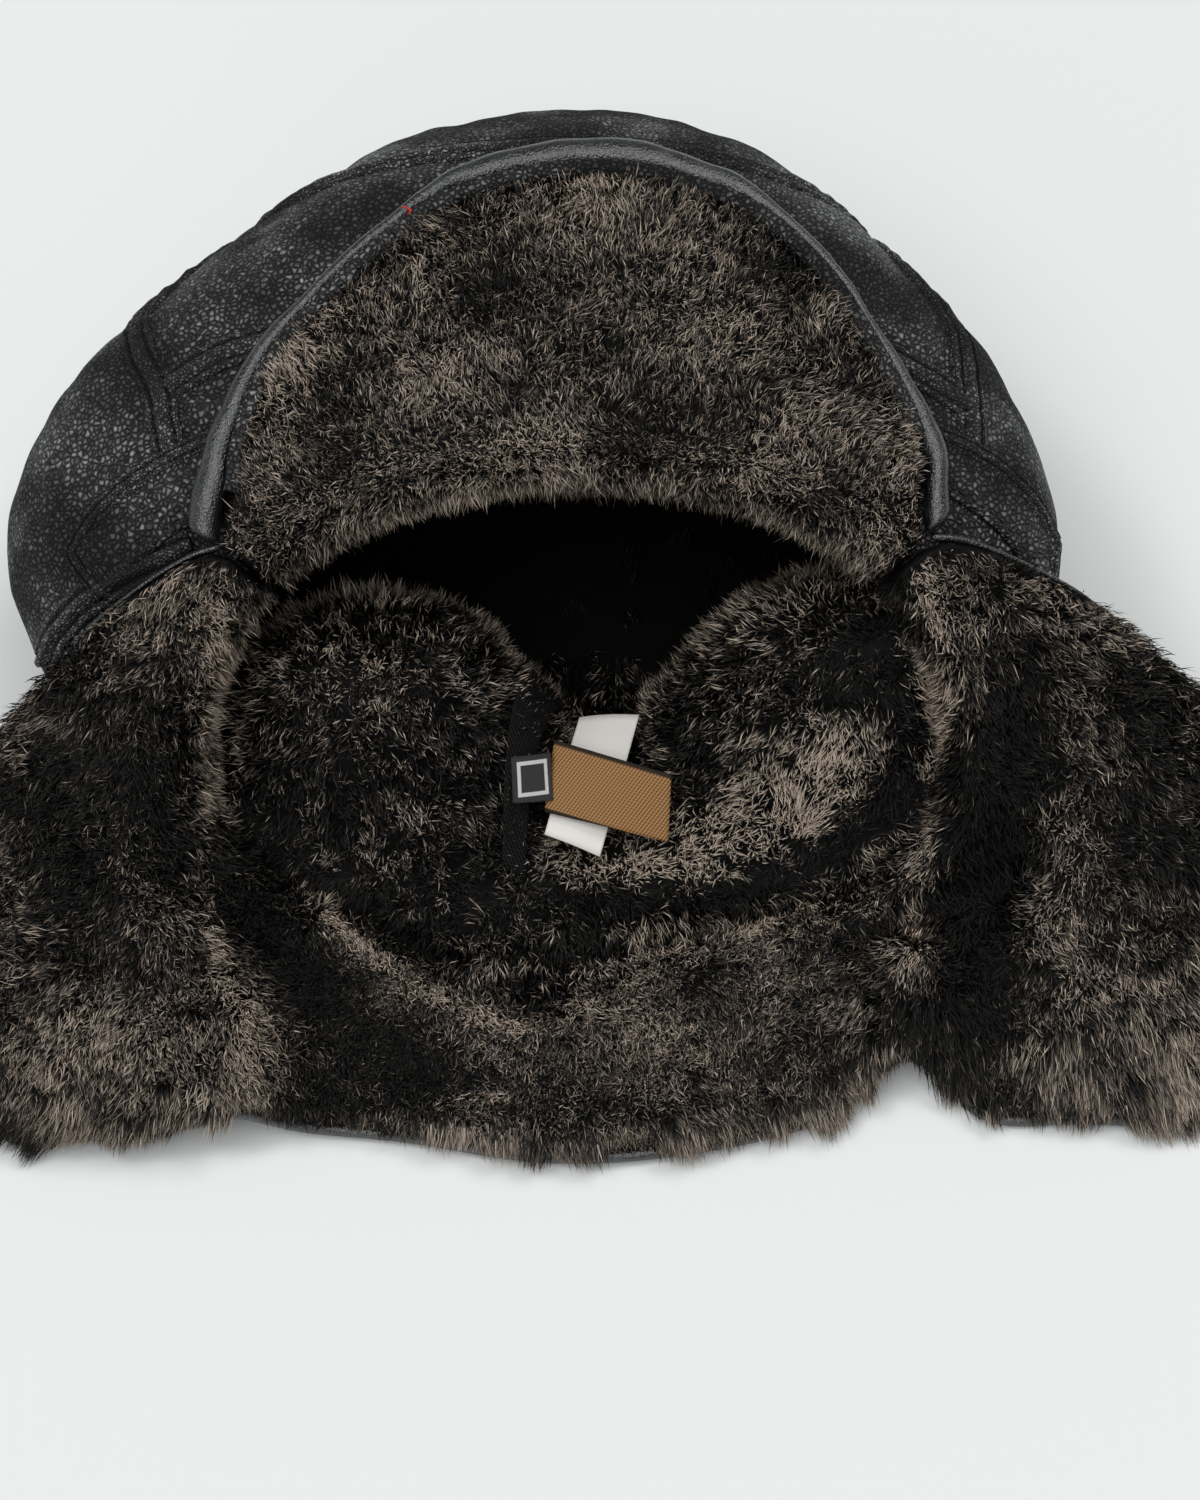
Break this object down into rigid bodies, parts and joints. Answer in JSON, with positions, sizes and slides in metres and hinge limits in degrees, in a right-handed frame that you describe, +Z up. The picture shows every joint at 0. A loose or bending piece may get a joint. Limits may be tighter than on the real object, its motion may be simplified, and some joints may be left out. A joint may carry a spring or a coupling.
{
  "type": "aviator hat",
  "caption": "Black leather aviator hat with clipped wool inside, lying on its back with the front flap turned up and the ear and neck flap spread out",
  "frame": {"origin": "middle of the bounding box in plan, on the surface that the hat lies on", "axes": "+Z up from that surface, which is the forehead side of the hat; +Y into the head opening towards the top of the crown; +X along the spread ear flaps, to the right for someone who looks into the opening"},
  "size_m": [0.3814, 0.2841, 0.1458],
  "materials": {
    "crown_leather": "pebbled, dull",
    "edge_leather": "smooth, soft sheen",
    "wool": "clipped wool pile, dark at the root",
    "dark_tape": "woven tape",
    "brown_label": "woven twill",
    "dark_label": "woven",
    "white_label": "satin ribbon"
  },
  "bodies": {
    "root": {"crown_top_panel": "crown_leather", "crown_front_upper_panel": "crown_leather", "crown_front_lower_panel": "crown_leather", "crown_left_panel": "crown_leather", "crown_right_panel": "crown_leather", "crown_back_panel": "crown_leather", "front_band": "crown_leather", "crown_lining": "wool", "front_flap_leather": "crown_leather", "front_flap_fleece": "wool", "front_flap_piping": "edge_leather", "front_flap_edge_strip": "edge_leather", "ear_neck_flap_leather": "crown_leather", "ear_neck_flap_fleece": "wool", "ear_neck_flap_piping": "edge_leather", "centre_back_tape": "dark_tape", "woven_label": "brown_label", "size_label": "dark_label", "care_label": "white_label"}
  },
  "joints": []
}
